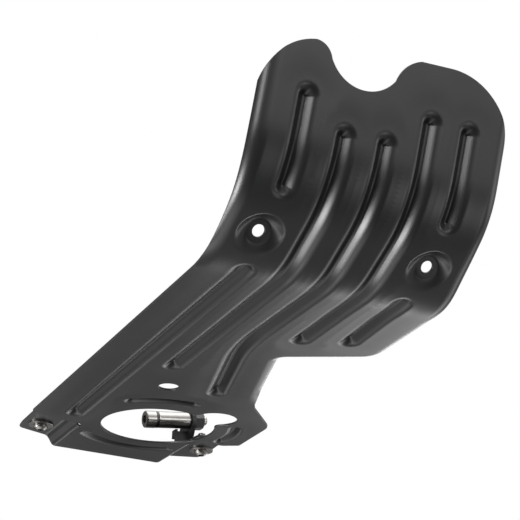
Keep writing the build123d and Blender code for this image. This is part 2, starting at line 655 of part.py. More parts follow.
def clamp_bracket(side):
    """Folded bracket: foot on the pad, leaning ear for the bolt, short return with a flange."""
    t = radians(TILT)
    y = lambda u: Y_MID + side * u
    foot_z, z_ear = Z_PAD_TOP, Z_EAR[side]
    rise = (z_ear - foot_z) / cos(t)
    ear = bolt_plane(side, -PLATE)
    ear = Plane(origin=ear.origin, x_dir=(1, 0, 0), z_dir=ear.z_dir)
    up = 1 if ear.y_dir.Z > 0 else -1
    # the ear's inner face at a height
    face = lambda z: U_EAR[side] + (z_ear - z) * tan(t) - PLATE / cos(t)
    u_in = face(foot_z)
    with BuildPart() as bp:
        with BuildSketch(Plane.XY.offset(foot_z)):
            with BuildLine():
                foot = rounded([(-76.5, u_in + 0.3, 0), (-76.5, 59.0, 3), (-70.5, 69.5, 4),
                                (-46.5, 69.5, 4), (-46.5, u_in + 6.0, 3), (-60.5, u_in + 6.0, 2),
                                (-60.5, u_in + 0.3, 0)], closed=True)
                for g in foot:
                    g = [(q[0], y(q[1])) for q in g]
                    if len(g) == 2:
                        Line(*g)
                    else:
                        ThreePointArc(*g)
            make_face()
        extrude(amount=PLATE)
        # ear: from the fold line up to a round eye on the bolt axis
        with BuildSketch(ear):
            with BuildLine():
                b = -rise
                Polyline((-76.5 - X_BOLT, up * b), (-60.5 - X_BOLT, up * b), (7.4, up * -4.4),
                         (0.0, up * 8.4), (-13.0, up * 3.0), (-76.5 - X_BOLT, up * -8.0), close=True)
            make_face()
            Circle(8.8)
        extrude(amount=PLATE)
        # return below the sleeve, square to the ear, with a flange turned back at its end
        with BuildSketch(Plane(origin=(-62.6, 0, 0), x_dir=(0, 1, 0), z_dir=(1, 0, 0))):
            with BuildLine():
                z0, z1 = 10.2, z_ear - 7.6
                Polyline((y(face(z0) + 1.0), z0), (y(face(z1) + 1.0), z1),
                         (y(face(z1) - 9.0), z1 - 1.3), (y(face(z1) - 9.0), z0 + 1.0),
                         (y(face(z1) - 8.0), z0), close=True)
            make_face()
        extrude(amount=2.6)
        with BuildSketch(Plane(origin=(-68.0, 0, 0), x_dir=(0, 1, 0), z_dir=(1, 0, 0))):
            with BuildLine():
                u = face(z1) - 9.0
                Polyline((y(u), z1 - 5.6), (y(u + 2.0), z1 - 5.6), (y(u + 2.0), z1 + 1.0),
                         (y(u), z1 + 0.8), close=True)
            make_face()
        extrude(amount=6.4)
        # trim what falls below the pad's top, then drill both holes
        with BuildSketch(Plane.XY.offset(foot_z)):
            with Locations((-62, y(58))):
                Rectangle(80, 60)
        extrude(amount=-10, mode=Mode.SUBTRACT)
        with BuildSketch(screw_plane(side, foot_z - 1)):
            Circle(3.3)
        extrude(amount=PLATE + 2, mode=Mode.SUBTRACT)
        with BuildSketch(bolt_plane(side, -PLATE - 1)):
            Circle(4.25)
        extrude(amount=PLATE + 2, mode=Mode.SUBTRACT)
    return bp.part


def clamp_bolt(side):
    """Socket-head cap screw, head towards the middle."""
    seat = -(PLATE + SLEEVE_L[side] + LOCK_H)
    pl = bolt_plane(side, seat)
    r, h, n = M8_HEAD_D / 2, M8_HEAD_H, M8_LENGTH[side]
    with BuildPart() as bp:
        add(turned(pl, [(0, -h), (r - 0.7, -h), (r - 0.2, -h + 0.35), (r, -h + 0.9), (r, -0.25),
                        (r - 0.25, 0), (4.0, 0), (4.0, n - 1.0), (3.2, n), (0, n)]))
        with BuildSketch(pl.offset(-h)):
            RegularPolygon(6.0 / 3 ** 0.5, 6)
        extrude(amount=4.0, mode=Mode.SUBTRACT)
    return bp.part


def lock_washer(side):
    """Split spring washer below the bolt head."""
    pl = bolt_plane(side, -(PLATE + SLEEVE_L[side] + LOCK_H))
    with BuildPart() as bp:
        with BuildSketch(pl):
            Circle(LOCK_D / 2)
            Circle(4.1, mode=Mode.SUBTRACT)
            with Locations((2.2, (1 if pl.y_dir.Z > 0 else -1) * 5.2)):
                Rectangle(1.6, 5.0, rotation=-20, mode=Mode.SUBTRACT)
        extrude(amount=LOCK_H)
    return bp.part


def clamp_sleeve(side):
    n = SLEEVE_L[side]
    pl = bolt_plane(side, -(PLATE + n))
    r, c = SLEEVE_D / 2, 0.4
    return turned(pl, [(4.2, 0), (r - c, 0), (r, c), (r, n - c), (r - c, n), (4.2, n)])


def clamp_nut(side):
    return hex_nut(bolt_plane(side, 0), M8_NUT_AF, M8_NUT_H, 8.08)


for side, word in ((1, "left"), (-1, "right")):
    for make in (tab_screw, tab_washer, tab_nut, clamp_bracket, clamp_bolt,
                 lock_washer, clamp_sleeve, clamp_nut):
        name = make.__name__ + "_" + word
        with BuildPart() as piece:
            add(make(side))
        piece.part.label = name
        export_step(piece.part, "parts/" + name + ".step")
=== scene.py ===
import math
import bpy
import numpy as np
from mathutils import Matrix, Vector
from mathutils.geometry import delaunay_2d_cdt


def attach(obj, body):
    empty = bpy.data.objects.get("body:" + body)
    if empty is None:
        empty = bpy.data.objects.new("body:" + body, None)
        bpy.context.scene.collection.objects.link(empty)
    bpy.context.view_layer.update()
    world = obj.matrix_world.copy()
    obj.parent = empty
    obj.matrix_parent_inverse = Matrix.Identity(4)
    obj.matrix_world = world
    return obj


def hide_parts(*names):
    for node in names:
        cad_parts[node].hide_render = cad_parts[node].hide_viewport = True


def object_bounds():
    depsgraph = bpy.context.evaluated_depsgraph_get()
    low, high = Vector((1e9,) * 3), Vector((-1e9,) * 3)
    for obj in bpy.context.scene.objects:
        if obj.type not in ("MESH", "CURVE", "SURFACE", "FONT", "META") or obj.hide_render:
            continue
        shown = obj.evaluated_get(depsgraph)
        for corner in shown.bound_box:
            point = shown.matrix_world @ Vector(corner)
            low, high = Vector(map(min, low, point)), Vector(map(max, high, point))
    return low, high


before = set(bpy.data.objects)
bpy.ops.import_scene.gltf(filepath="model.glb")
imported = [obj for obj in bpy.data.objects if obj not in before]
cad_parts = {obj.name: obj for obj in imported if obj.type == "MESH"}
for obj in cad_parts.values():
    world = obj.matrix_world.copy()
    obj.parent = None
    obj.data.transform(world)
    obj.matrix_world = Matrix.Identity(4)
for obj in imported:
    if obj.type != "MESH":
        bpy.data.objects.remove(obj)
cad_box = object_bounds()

rad, pi = math.radians, math.pi
MM = 0.001

# ------------------------------------------------------------------ sheet form
# The plate is one sheet.  A point of it is (s, y): s runs along the side
# profile of the outer face, y across it, both in millimetres.
SHEET = 1.5
S_FLAT = 258.0
R_LOW, A_LOW = 45.7, rad(27.91)
L_MID = 20.25
R_UP, A_UP = 64.0, rad(68.75)
S_BEND1 = S_FLAT + R_LOW * A_LOW
S_BEND2 = S_BEND1 + L_MID
S_UP = S_BEND2 + R_UP * (A_UP - A_LOW)
Y_ROLL_L, W_FLAT_L = -81.0, 7.3
Y_ROLL_R0, Y_ROLL_R1 = 50.5, 45.5
R_ROLL, A_LIP, A_ROLL = 10.0, 40.0, 67.0
R_ACCESS, X_LOBE, Y_LOBE, R_LOBE = 40.0, 35.8, 28.7, 14.7
X_DRAIN, Y_DRAIN, R_DRAIN = 82.9, -27.0, 6.5
DISHES = ((290.3, -66.8), (293.8, 31.0))
R_DISH, R_SEAT, H_DISH, A_SEAT, R_DISH_HOLE = 12.5, 6.4, 3.2, rad(20.0), 3.3
BEAD = (15.0, 4.5, rad(46.0))
RING = (12.0, 3.6, rad(48.0))
Y_MID, PAD_Z = -4.8, 6.5
X_REAR, U_FOLD = {1: -86.7, -1: -84.3}, {1: 39.5, -1: 43.2}
STEP, R_STEP = {1: (41.8, 47.1), -1: (45.6, 50.9)}, (4.2, 5.0)
X_SCREW, U_SCREW = -55.7, 63.85
EDGE = 0.34                       # rounding of the cut edge


# slope along the profile: two rolled bends that ease in and out over a few
# millimetres, as rolled sheet does
GRID = np.arange(-130.0, 430.0, 0.25)
slope = np.interp(GRID, (S_FLAT, S_BEND1, S_BEND2, S_UP), (0, A_LOW, A_LOW, A_UP))
for width in (9.0, 9.0):
    n_box = int(width / 0.25) | 1
    slope = np.convolve(np.pad(slope, n_box // 2, mode="edge"), np.ones(n_box) / n_box, mode="valid")
mid_slope = (slope[1:] + slope[:-1]) / 2
X_GRID = np.concatenate([[0], np.cumsum(np.cos(mid_slope) * 0.25)]) + GRID[0]
Z_GRID = np.concatenate([[0], np.cumsum(np.sin(mid_slope) * 0.25)])


def station(s):
    """x, z and slope of the outer face at the length s."""
    s = np.asarray(s, float)
    return np.interp(s, GRID, X_GRID), np.interp(s, GRID, Z_GRID), np.interp(s, GRID, slope)


def ease(s, s0, s1):
    u = np.clip((np.asarray(s, float) - s0) / (s1 - s0), 0, 1)
    return u * u * (3 - 2 * u)


def curl(s):
    return np.clip(np.tanh((np.asarray(s, float) - S_FLAT) / 37.0) / math.tanh((S_UP - S_FLAT) / 37.0), 0, 1)


def roll_left(s):
    """Start line, radius and angle of the left rolled edge."""
    ang = np.maximum(np.radians(A_ROLL * curl(s)), 1e-3)
    return Y_ROLL_L - 0.5 * ease(s, 262, 300), (W_FLAT_L + 4.5 * ease(s, 280, S_UP)) / ang, ang


def roll_right(s):
    """Start line and angle of the right rolled edge."""
    return (Y_ROLL_R0 + (Y_ROLL_R1 - Y_ROLL_R0) * ease(s, 263, 315),
            np.radians(A_LIP + (A_ROLL - A_LIP) * curl(s)))


def rounded(corners):
    """Open path with rounded corners (x, y, radius): lines and three-point arcs."""
    segs, last = [], corners[0][:2]
    for i in range(1, len(corners) - 1):
        x, y, r = corners[i]
        px, py, qx, qy = *corners[i - 1][:2], *corners[i + 1][:2]
        la, lb = math.hypot(px - x, py - y), math.hypot(qx - x, qy - y)
        ax, ay, bx, by = (px - x) / la, (py - y) / la, (qx - x) / lb, (qy - y) / lb
        if r < 1e-6:
            segs.append((last, (x, y)))
            last = (x, y)
            continue
        c = ax * bx + ay * by
        d = r / math.sqrt((1 - c) / (1 + c))
        p0, p1 = (x + ax * d, y + ay * d), (x + bx * d, y + by * d)
        m = math.hypot(ax + bx, ay + by)
        h = math.hypot(d, r) - r
        segs.append((last, p0))
        segs.append((p0, (x + (ax + bx) / m * h, y + (ay + by) / m * h), p1))
        last = p1
    segs.append((last, corners[-1][:2]))
    return segs


def sample(segs, step=2.0, turn=rad(7)):
    """Points along lines and three-point arcs, ends included once."""
    out = [segs[0][0]]
    for g in segs:
        if len(g) == 2:
            (x0, y0), (x1, y1) = g
            n = max(1, int(math.ceil(math.hypot(x1 - x0, y1 - y0) / step)))
            out += [(x0 + (x1 - x0) * k / n, y0 + (y1 - y0) * k / n) for k in range(1, n + 1)]
        else:
            (ax, ay), (bx, by), (cx, cy) = g
            d = 2 * (ax * (by - cy) + bx * (cy - ay) + cx * (ay - by))
            ux = ((ax * ax + ay * ay) * (by - cy) + (bx * bx + by * by) * (cy - ay) + (cx * cx + cy * cy) * (ay - by)) / d
            uy = ((ax * ax + ay * ay) * (cx - bx) + (bx * bx + by * by) * (ax - cx) + (cx * cx + cy * cy) * (bx - ax)) / d
            r = math.hypot(ax - ux, ay - uy)
            t0, tm, t1 = (math.atan2(q[1] - uy, q[0] - ux) for q in g)
            sweep = (t1 - t0) % (2 * pi)
            if (tm - t0) % (2 * pi) > sweep:
                sweep -= 2 * pi
            n = max(2, int(math.ceil(max(abs(sweep) / turn, abs(sweep) * r / step))))
            out += [(ux + r * math.cos(t0 + sweep * k / n), uy + r * math.sin(t0 + sweep * k / n)) for k in range(1, n + 1)]
    keep = [out[0]]
    for q in out[1:]:
        if math.hypot(q[0] - keep[-1][0], q[1] - keep[-1][1]) > 1e-4:
            keep.append(q)
    return keep


LIP = [(S_FLAT, Y_ROLL_R0, 0), (250.0, Y_ROLL_R0, 60), (195.8, 54.2, 8), (165.7, 3.1, 13), (76.7, 31.1, 0)]
LIP_PTS = np.array(sample(rounded(LIP), 1.6))
TAB = {1: [(-85.8, 47.5, 15), (-77.3, 71.6, 6), (-64.0, 72.4, 14), (-37.0, 70.4, 5), (-26.0, 62.0, 5), (-25.6, 48.5, 5),
           (-30.3, 39.5, 0)],
       -1: [(-83.6, 46.5, 8), (-72.3, 75.4, 6), (-60.0, 76.6, 12), (-31.5, 76.8, 5), (-24.8, 68.0, 5), (-24.2, 51.0, 5),
            (-27.8, 43.2, 0)]}
# middle of each slit between a pad and the wing in front of it, (u, x)
SLIT = {1: ((39.5, 43.0, 49.0, 90.0), (-30.3, -26.6, -23.3, -22.0)), -1: ((43.2, 46.0, 51.0, 90.0), (-27.8, -24.8, -22.4, -21.0))}


def along(pts):
    """Left-hand unit normals of a polyline."""
    t = np.gradient(pts, axis=0)
    t /= np.linalg.norm(t, axis=1)[:, None]
    return np.stack([-t[:, 1], t[:, 0]], 1)


def bead_line(xj, s1, y0, radius, turn, x_end):
    """Centre line of a bead: straight over the bends, swung aside on the flat."""
    pts = [(s, y0) for s in np.linspace(s1, xj, max(2, int((s1 - xj) / 2.5)))]
    g = rad(turn)
    m = max(4, int(radius * g / 2.2))
    for k in range(1, m + 1):
        th = g * k / m
        pts.append((xj - radius * math.sin(th), y0 + radius * (1 - math.cos(th))))
    p = pts[-1]
    n = max(2, int((p[0] - x_end) / 2.5))
    pts += [(p[0] + (x_end - p[0]) * k / n, p[1] + (p[0] - x_end) * math.tan(g) * k / n) for k in range(1, n + 1)]
    return np.array(pts)


def arc_line(r, a0, a1):
    t = np.radians(np.linspace(a0, a1, int(abs(a1 - a0) / 2.5)))
    return np.stack([r * np.cos(t), r * np.sin(t)], 1)


straight = lambda s0, s1, y: np.array([(s, y) for s in np.linspace(s0, s1, int(abs(s1 - s0) / 2.5))])
BEADS = [(straight(364.8, 318.7, -65.6), BEAD),
         (bead_line(250.0, 350.3, -41.6, 400.0, 0.9, 119.2), BEAD),
         (bead_line(192.0, 352.3, -18.2, 170.0, 16.0, 86.7), BEAD),
         (bead_line(250.0, 369.3, 5.5, 400.0, 2.2, 196.2), BEAD),
         (straight(369.8, 322.2, 28.5), BEAD),
         (bead_line(252.0, 266.3, 29.8, 150.0, 5.5, 207.2), BEAD),
         (bead_line(240.0, 263.8, -63.3, 400.0, 0.55, -1.3), BEAD),
         (arc_line(57.0, -40.4, 2.4), RING),
         (arc_line(57.0, 151.0, 222.0), RING),
         (arc_line(55.0, 66.0, 101.0), RING)]


def line_distance(p, line):
    """Distance of points to a polyline."""
    best = np.full(len(p), 1e9)
    near = ((p[:, 0] > line[:, 0].min() - 25) & (p[:, 0] < line[:, 0].max() + 25)
            & (p[:, 1] > line[:, 1].min() - 25) & (p[:, 1] < line[:, 1].max() + 25))
    q = p[near]
    b = np.full(len(q), 1e9)
    for a, c in zip(line[:-1], line[1:]):
        d = c - a
        t = np.clip(((q - a) @ d) / (d @ d), 0, 1)
        b = np.minimum(b, np.hypot(*(q - a - t[:, None] * d).T))
    best[near] = b
    return best


def press(t, width, height, wall):
    """Depth of a bead at the distance t from its centre line."""
    h = width / 2
    r = (h * math.tan(wall) - height) / (math.sin(wall) * math.tan(wall) - (1 - math.cos(wall)))
    r0, r1 = 0.24 * r, 0.76 * r            # tight root, easy lip
    t1, d1 = h - r1 * math.sin(wall), r1 * (1 - math.cos(wall))
    u = np.clip(h - t, 0, r1)
    lip = r1 - np.sqrt(np.maximum(r1 * r1 - u * u, 0))
    flank = d1 + (t1 - t) * math.tan(wall)
    low = height - (r0 - np.sqrt(np.maximum(r0 * r0 - np.minimum(t, r0) ** 2, 0)))
    return np.select([t >= h, t >= t1, t >= r0 * math.sin(wall)], [0 * t, lip, flank], low)


def dish_press(a, b):
    """Depth of a dish: a leaning flat seat, a conical wall and a rounded rim."""
    t = np.maximum(np.hypot(a, b), 1e-6)
    floor = H_DISH + a * math.tan(A_SEAT)
    edge = H_DISH + a / t * R_SEAT * math.cos(A_SEAT) * math.tan(A_SEAT)
    wall = edge * (1 - np.clip((t - R_SEAT) / (R_DISH - R_SEAT), 0, 2) ** 1.7)
    w = np.clip((t - R_SEAT + 0.8) / 1.6, 0, 1)
    w = w * w * (3 - 2 * w)
    d = floor * (1 - w) + wall * w
    h = np.maximum(0.7 - np.abs(d), 0) / 0.7
    return np.where(t > R_DISH + 4, 0, np.maximum(d, 0) + np.where(t > R_SEAT, h * h * 0.7 / 4, 0))


def ramp(u, side):
    """Step up from the middle strip to a rear pad."""
    u1, u2 = STEP[side]
    th = math.atan2(PAD_Z, u2 - u1)
    r1, r2 = R_STEP
    e1, e2 = r1 * math.tan(th / 2), r2 * math.tan(th / 2)
    a, b = u1 - e1, u1 + e1 * math.cos(th)
    c, d = u2 - e2 * math.cos(th), u2 + e2
    up = r1 - np.sqrt(np.maximum(r1 * r1 - np.clip(u - a, 0, r1) ** 2, 0))
    top = PAD_Z - (r2 - np.sqrt(np.maximum(r2 * r2 - np.clip(d - u, 0, r2) ** 2, 0)))
    return np.select([u < a, u < b, u < c, u < d], [0 * u, up, (u - u1) * math.tan(th), top], 0 * u + PAD_Z)


def inside(p, loop):
    """Even-odd test of points against a closed polygon."""
    x, y = p[:, 0], p[:, 1]
    hit = np.zeros(len(p), bool)
    a, b = loop, np.roll(loop, -1, axis=0)
    for (x0, y0), (x1, y1) in zip(a, b):
        if y0 == y1:
            continue
        cross = (y0 > y) != (y1 > y)
        hit ^= cross & (x < (x1 - x0) * (y - y0) / (y1 - y0) + x0)
    return hit


LIP_ROOM = np.vstack([LIP_PTS, [(LIP_PTS[-1][0], -300.0), (LIP_PTS[0][0], -300.0)]])


def depth(p):
    """How far the outer face lies inside the plain profile at (s, y)."""
    s, y = p[:, 0], p[:, 1]
    d = np.zeros(len(p))
    soft = np.zeros(len(p))
    for line, (w, h, wall) in BEADS:
        t = line_distance(p, line)
        d = np.maximum(d, press(t, w, h, wall))
        soft = np.maximum(soft, SOFT * np.exp(-(np.maximum(t - w / 2, 0) / SOFT_L) ** 2))
    for sc, yc in DISHES:
        d = np.maximum(d, dish_press(s - sc, y - yc))
    d = d + soft
    # rolled edges of the front
    front = s > S_FLAT
    y0, r, _ = roll_left(s)
    u = np.clip(y0 - y, 0, None)
    d = d + np.where(front & (u > 0), r - np.sqrt(np.maximum(r * r - u * u, 0.0)), 0)
    y0, _ = roll_right(s)
    u = np.clip(y - y0, 0, R_ROLL * 0.97)
    d = d + np.where(front & (u > 0), R_ROLL - np.sqrt(R_ROLL ** 2 - u * u), 0)
    # lip of the lower right edge, running out towards the wing
    m = (s <= S_FLAT) & (s > 70) & (y > -12)
    idx = np.where(m)[0]
    if len(idx):
        q = p[idx]
        out = ~inside(q, LIP_ROOM)
        u = np.clip(line_distance(q, LIP_PTS), 0, 7.2)
        h = R_ROLL - np.sqrt(R_ROLL ** 2 - u * u)
        d[idx] += np.where(out, h * ease(q[:, 0], 78.0, 108.0), 0)
    # rear pads
    for k in (1, -1):
        uu = k * (y - Y_MID)
        d = d + np.where((s < np.interp(uu, *SLIT[k])) & (uu > U_FOLD[k]), ramp(uu, k), 0)
    return d


SOFT, SOFT_L = 0.28, 8.0


def place(p):
    """Points of the outer face, in millimetres."""
    x, z, a = station(p[:, 0])
    d = depth(p)
    return np.stack([x - np.sin(a) * d, p[:, 1], z + np.cos(a) * d], 1)


def face_normals(p, h=0.03):
    """Unit normals pointing inward (away from the outer face)."""
    e = np.array([h, 0.0]), np.array([0.0, h])
    du = place(p + e[0]) - place(p - e[0])
    dv = place(p + e[1]) - place(p - e[1])
    n = np.cross(du, dv)
    return n / np.linalg.norm(n, axis=1)[:, None]


# ------------------------------------------------------------------ outline
def top_outline():
    """Top edge from right to left in (s, y)."""
    flip = lambda *q: tuple((s, y) for y, s in q)
    segs = [flip((54.95, 360), (43.7, 388.2), (12, 400.4)), flip((12, 400.4), (-6.3, 398.9)),
            flip((-6.3, 398.9), (-13.9, 394.2), (-18.8, 385.3)), flip((-18.8, 385.3), (-38.2, 375.5), (-56.0, 386.0)),
            flip((-56.0, 386.0), (-59.6, 391.0), (-66, 393.0)), flip((-66, 393.0), (-82.2, 384.2), (-90.9, 362))]
    return np.array(sample(segs, 1.6))


yr, ar = roll_right(S_UP)
Y_EDGE_R = float(yr + R_ROLL * math.sin(float(ar)))
yl, rl, al = roll_left(S_UP)
Y_EDGE_L = float(yl - rl * math.sin(float(al)))
top = top_outline()
top = top[(top[:, 1] < Y_EDGE_R - 0.15) & (top[:, 1] > Y_EDGE_L + 0.15)]
# left edge, upwards
s_l = np.arange(S_FLAT, top[-1][0] - 0.8, 2.0)
yl, rl, al = roll_left(s_l)
left = np.stack([s_l, yl - rl * np.sin(al)], 1)
# right edge, downwards
s_r = np.arange(top[0][0] - 1.0, S_FLAT + 0.5, -2.0)
yr, ar = roll_right(s_r)
right = np.stack([s_r, yr + R_ROLL * np.sin(ar)], 1)
n_lip = along(LIP_PTS)
if n_lip[0][1] < 0:
    n_lip = -n_lip
lip_edge = LIP_PTS + n_lip * R_ROLL * math.sin(rad(A_LIP))
y = lambda u: Y_MID + u
chain = [(*lip_edge[-1], 0), (70.5, 41.6, 10), (39.1, 68.3, 17.5), (-12.3, 70.5, 3), (-19.6, y(64.8), 6), (-20.8, y(U_FOLD[1]), 9.5)] + \
        [(a, y(b), r) for a, b, r in TAB[1][::-1]] + [(X_REAR[1], y(U_FOLD[1]), 0), (X_REAR[-1], y(-U_FOLD[-1]), 0)] + \
        [(a, y(-b), r) for a, b, r in TAB[-1]] + [(-20.8, y(-U_FOLD[-1]), 7), (-19.6, y(-64.8), 6),
                                                  (-10.6, Y_ROLL_L - W_FLAT_L, 2), (S_FLAT - 2, Y_ROLL_L - W_FLAT_L, 0)]
rear = np.array(sample(rounded(chain), 2.2))
outer = np.vstack([right, lip_edge, rear[1:], left, top[::-1]])


def keyhole(f):
    m = math.hypot(X_LOBE, Y_LOBE)
    ex, ey = X_LOBE / m, Y_LOBE / m
    a = ((R_ACCESS + f) ** 2 - (R_LOBE + f) ** 2 + m * m) / (2 * m)
    h = math.sqrt((R_ACCESS + f) ** 2 - a * a)
    ends, arcs = [], []
    for k in (1, -1):
        cx, cy = a * ex - k * h * ey, a * ey + k * h * ex
        q = R_ACCESS / (R_ACCESS + f)
        p0 = (cx * q, cy * q)
        q = R_LOBE / (R_LOBE + f)
        p1 = (X_LOBE + (cx - X_LOBE) * q, Y_LOBE + (cy - Y_LOBE) * q)
        dx, dy = (p0[0] + p1[0]) / 2 - cx, (p0[1] + p1[1]) / 2 - cy
        dd = math.hypot(dx, dy)
        arcs.append((p0, (cx + f * dx / dd, cy + f * dy / dd), p1))
        ends.append((p0, p1))
    (a0, b0), (a1, b1) = ends
    mid = (-R_ACCESS * ex, -R_ACCESS * ey)
    tip = (X_LOBE + R_LOBE * ex, Y_LOBE + R_LOBE * ey)
    (p0, m0, p1), (q0, m1, q1) = arcs
    return sample([(a0, mid, a1), (q0, m1, q1), (b1, tip, b0), (p1, m0, p0)], 1.6, rad(4))[:-1]


def circle(x, yc, r, n):
    t = np.linspace(0, 2 * pi, n, endpoint=False)
    return np.stack([x + r * np.cos(t), yc + r * np.sin(t)], 1)


holes = [np.array(keyhole(5.0)), circle(X_DRAIN, Y_DRAIN, R_DRAIN, 48)]
holes += [circle(X_SCREW, Y_MID + k * U_SCREW, 3.3, 32) for k in (1, -1)]
holes += [circle(0, yc, R_DISH_HOLE, 40) * (math.cos(A_SEAT), 1) + (sc, 0) for sc, yc in DISHES]


def area(loop):
    x, yy = loop[:, 0], loop[:, 1]
    return 0.5 * float(np.sum(x * np.roll(yy, -1) - np.roll(x, -1) * yy))


def inset(loop, d):
    """Moves a loop towards the material by d (outer loops shrink, holes grow)."""
    t = np.roll(loop, -1, axis=0) - np.roll(loop, 1, axis=0)
    t /= np.linalg.norm(t, axis=1)[:, None]
    return loop + np.stack([-t[:, 1], t[:, 0]], 1) * d


def thin(loop, gap):
    keep = [loop[0]]
    for q in loop[1:]:
        if np.hypot(*(q - keep[-1])) > gap:
            keep.append(q)
    if np.hypot(*(keep[0] - keep[-1])) < gap:
        keep.pop()
    return np.array(keep)


loops = []
for k, loop in enumerate([outer] + holes):
    loop = thin(np.asarray(loop, float), 0.25)
    if (area(loop) > 0) != (k == 0):
        loop = loop[::-1]
    loops.append(inset(loop, EDGE))       # material is on the left of every loop

# ------------------------------------------------------------------ inner points
cells, pts = {}, []


def put(q, gap):
    """Keeps a point unless another is within gap."""
    n = int(math.ceil(gap / 1.0))
    cx, cy = int(math.floor(q[0])), int(math.floor(q[1]))
    g2 = gap * gap
    for i in range(cx - n, cx + n + 1):
        for j in range(cy - n, cy + n + 1):
            for k in cells.get((i, j), ()):
                if (pts[k][0] - q[0]) ** 2 + (pts[k][1] - q[1]) ** 2 < g2:
                    return
    cells.setdefault((cx, cy), []).append(len(pts))
    pts.append((float(q[0]), float(q[1])))


starts = []
for loop in loops:
    starts.append(len(pts))
    for q in loop:
        cells.setdefault((int(math.floor(q[0])), int(math.floor(q[1]))), []).append(len(pts))
        pts.append((float(q[0]), float(q[1])))
n_edge = len(pts)

wanted = []
for line, (w, h, wall) in BEADS:
    n = along(line)
    f = w / 11.6
    rows = [0, 0.35, 0.7, 1.2, 2.2, 3.0, 3.6, 4.1, 4.6, 5.1, 5.6, 6.3, 7.4, 9.2]
    d0, d1 = line[0] - line[1], line[-1] - line[-2]
    for o in rows:
        o *= f
        for sgn in ((1, -1) if o else (1,)):
            wanted += [(q, 0.42) for q in line + n * o * sgn]
        if o:
            for end, d in ((line[0], d0), (line[-1], d1)):
                t0 = math.atan2(d[1], d[0])
                m = max(7, int(pi * o / 1.1))
                for k in range(1, m):
                    t = t0 - pi / 2 + pi * k / m
                    wanted.append((end + o * np.array([math.cos(t), math.sin(t)]), 0.42))
for sc, yc in DISHES:
    for r in (4.3, 5.3, 6.3, 7.0, 7.6, 8.2, 8.9, 9.6, 10.2, 10.7, 11.2, 11.7, 12.2, 12.7, 13.6, 15.0):
        wanted += [(q, 0.42) for q in circle(sc, yc, r, 44)]
for s in np.arange(S_FLAT, 402, 2.0):
    yl, r0, a0 = roll_left(s)
    y0, a1 = roll_right(s)
    for k in range(0, 11):
        wanted.append((np.array([s, float(yl) - float(r0) * math.sin(float(a0) * k / 11)]), 0.5))
        wanted.append((np.array([s, float(y0) + R_ROLL * math.sin(float(a1) * k / 11)]), 0.5))
for k in range(0, 7):
    wanted += [(q, 0.5) for q in LIP_PTS + n_lip * R_ROLL * math.sin(rad(A_LIP) * k / 7)]
for k in (1, -1):
    for u in (-2.4, -1.9, -1.3, -0.7, 0, 0.7, 1.3, 2.0, 2.8, 3.5, 4.2, 4.9, 5.6, 6.3, 7.0, 7.7, 8.6):
        for x in np.arange(-87, -25, 2.2):
            wanted.append((np.array([x, Y_MID + k * (STEP[k][0] + u)]), 0.45))
for loop in loops:
    wanted += [(q, 0.9) for q in inset(loop, 1.3)]
for s in np.arange(-85, 402, 3.0):
    step = 3.0
    for yy in np.arange(-92, 74, step):
        wanted.append((np.array([s, yy + (1.5 if int(round(s / 3.0)) % 2 else 0)]), 1.7))

cand = np.array([q for q, _ in wanted])
gaps = np.array([g for _, g in wanted])
ok = inside(cand, loops[0])
for loop in loops[1:]:
    ok &= ~inside(cand, loop)
for q, g in zip(cand[ok], gaps[ok]):
    put(q, g)

edges = []
for st, loop in zip(starts, loops):
    m = len(loop)
    edges += [(st + k, st + (k + 1) % m) for k in range(m)]
v2, _, tri, orig, _, _ = delaunay_2d_cdt([Vector(q) for q in pts], edges, [], 0, 1e-7)
v2 = np.array([(q.x, q.y) for q in v2])
tri = np.array([list(t) for t in tri if len(t) == 3])
mid = v2[tri].mean(axis=1)
ok = inside(mid, loops[0])
for loop in loops[1:]:
    ok &= ~inside(mid, loop)
tri = tri[ok]
index = {}
for k, src in enumerate(orig):
    for o in src:
        index[o] = k

# ------------------------------------------------------------------ plate mesh
P = place(v2)
N = face_normals(v2)
Q = P + N * SHEET
a, b, c = P[tri[:, 0]], P[tri[:, 1]], P[tri[:, 2]]
down = np.einsum("ij,ij->i", np.cross(b - a, c - a), N[tri[:, 0]]) < 0      # outward of the outer face
t_out = np.where(down[:, None], tri, tri[:, ::-1])
n = len(P)
verts, norms = [P, Q], [-N, N]
faces = [t_out, t_out[:, ::-1] + n]
count = 2 * n
quads = []
for st, loop in zip(starts, loops):
    m = len(loop)
    ids = np.array([index[st + k] for k in range(m)])
    po, no = P[ids], N[ids]
    tan = np.roll(po, -1, axis=0) - np.roll(po, 1, axis=0)
    tan /= np.linalg.norm(tan, axis=1)[:, None]
    out = np.cross(tan, no)
    q2 = v2[ids]
    t2 = np.roll(q2, -1, axis=0) - np.roll(q2, 1, axis=0)
    step = np.stack([t2[:, 1], -t2[:, 0]], 1)
    step /= np.linalg.norm(step, axis=1)[:, None]
    ref = place(q2 + step * 0.05) - po
    out *= np.sign(np.einsum("ij,ij->i", out, ref))[:, None]
    ring = [ids]
    c45 = 1 - math.cos(pi / 4)
    for off, dep, wo, wn in ((EDGE * math.sin(pi / 4), EDGE * c45, 0.7071, -0.7071), (EDGE, EDGE, 1, 0),
                             (EDGE, SHEET - EDGE, 1, 0), (EDGE * math.sin(pi / 4), SHEET - EDGE * c45, 0.7071, 0.7071)):
        verts.append(po + out * off + no * dep)
        norms.append(out * wo + no * wn)
        ring.append(np.arange(count, count + m))
        count += m
    ring.append(ids + n)
    for r0, r1 in zip(ring, ring[1:]):
        quads.append(np.stack([r0, np.roll(r0, -1), np.roll(r1, -1), r1], 1))
V = np.vstack(verts)
NN = np.vstack(norms)
quads = np.vstack(quads)
a, b, c = V[quads[:, 0]], V[quads[:, 1]], V[quads[:, 2]]
bad = np.einsum("ij,ij->i", np.cross(b - a, c - a), NN[quads[:, 0]] + NN[quads[:, 2]]) < 0
